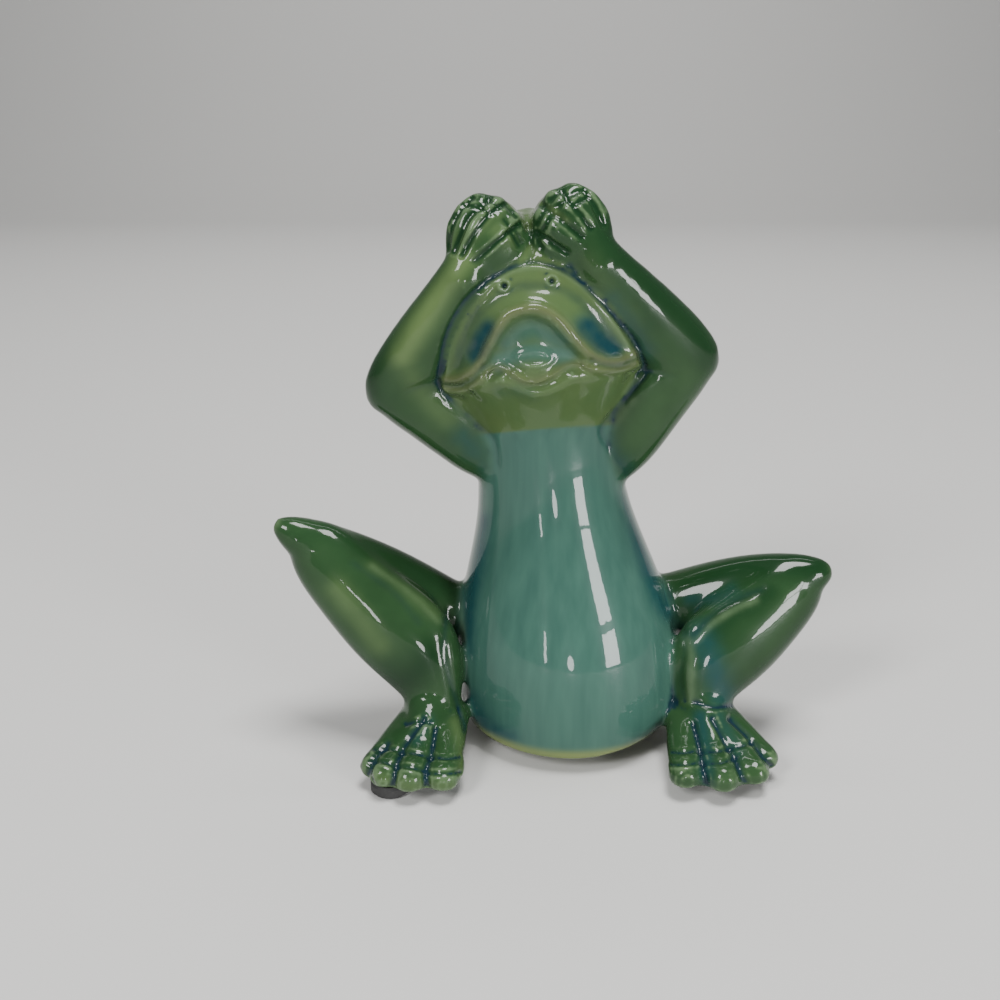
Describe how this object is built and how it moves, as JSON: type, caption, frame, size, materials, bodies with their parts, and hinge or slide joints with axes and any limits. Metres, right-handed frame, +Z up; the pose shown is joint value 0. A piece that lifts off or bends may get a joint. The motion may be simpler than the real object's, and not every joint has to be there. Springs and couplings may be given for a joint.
{
  "type": "frog figurine",
  "caption": "Glazed ceramic frog figurine, sitting upright with both hands over its eyes, on four rubber pads.",
  "frame": {"origin": "middle of the foot of the figurine's bounding box, on the table", "axes": "+X towards the frog's left, +Y towards its back, +Z up; it looks along -Y"},
  "size_m": [0.1396, 0.0676, 0.1386],
  "materials": {
    "glaze": "gloss",
    "rubber": "matte"
  },
  "bodies": {
    "root": {"body_casting": "glaze", "left_arm_casting": "glaze", "right_arm_casting": "glaze", "left_leg_casting": "glaze", "right_leg_casting": "glaze", "left_foot_pad": "rubber", "right_foot_pad": "rubber", "left_seat_pad": "rubber", "right_seat_pad": "rubber"}
  },
  "joints": []
}
